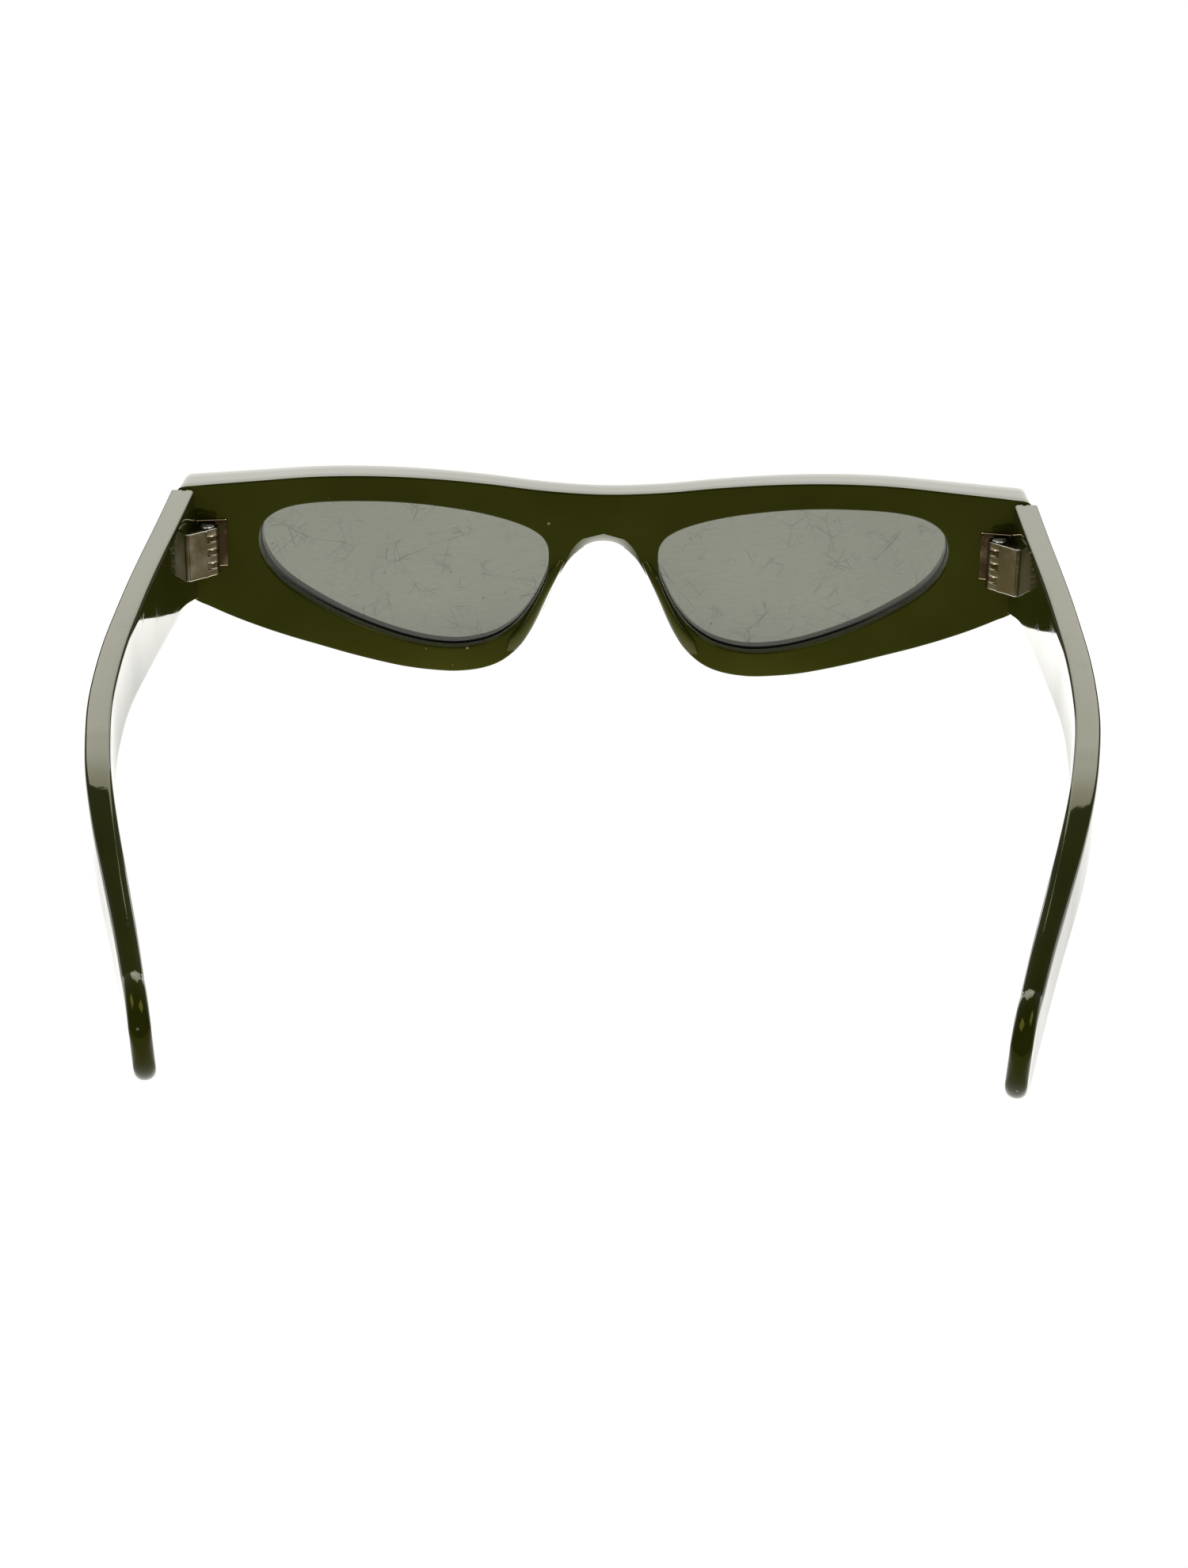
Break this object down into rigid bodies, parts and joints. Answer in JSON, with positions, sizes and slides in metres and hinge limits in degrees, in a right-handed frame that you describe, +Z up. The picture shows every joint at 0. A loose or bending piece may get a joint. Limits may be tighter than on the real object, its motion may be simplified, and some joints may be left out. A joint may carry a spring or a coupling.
{
  "type": "cat eye sunglasses",
  "caption": "Open cat eye sunglasses: a thick curved front, two tinted lenses, bonded nose pads and two folding temples on barrel hinges.",
  "frame": {"origin": "on the table, under the middle of the bounding box of the open glasses", "axes": "+X to the wearer's right, +Y forwards out of the lenses, +Z up from the table"},
  "size_m": [0.1548, 0.1548, 0.0368],
  "materials": {
    "acetate": "polished dark olive cellulose acetate",
    "lens": "grey-green tinted, clear and polished",
    "brass": "worn, with the plating rubbed through",
    "nickel": "nickel silver, slightly tarnished",
    "steel": "plain"
  },
  "bodies": {
    "front": {"front_frame": "acetate", "lens_left": "lens", "lens_right": "lens", "nose_pad_left": "acetate", "nose_pad_right": "acetate", "front_hinge_left": "brass", "front_hinge_right": "brass"},
    "left_temple": {"temple_left": "acetate", "core_wire_left": "steel", "temple_hinge_left": "nickel", "hinge_screw_left": "steel"},
    "right_temple": {"temple_right": "acetate", "core_wire_right": "steel", "temple_hinge_right": "nickel", "hinge_screw_right": "steel"}
  },
  "joints": [
    {"name": "left_temple_fold", "type": "hinge", "parent": "front", "child": "left_temple", "pos_m": [-0.0679, 0.06015, 0.02604], "axis": [0, 0.061, 0.9981], "range_deg": [0, 87]},
    {"name": "right_temple_fold", "type": "hinge", "parent": "front", "child": "right_temple", "pos_m": [0.0679, 0.06015, 0.02604], "axis": [0, -0.061, -0.9981], "range_deg": [0, 80]}
  ]
}
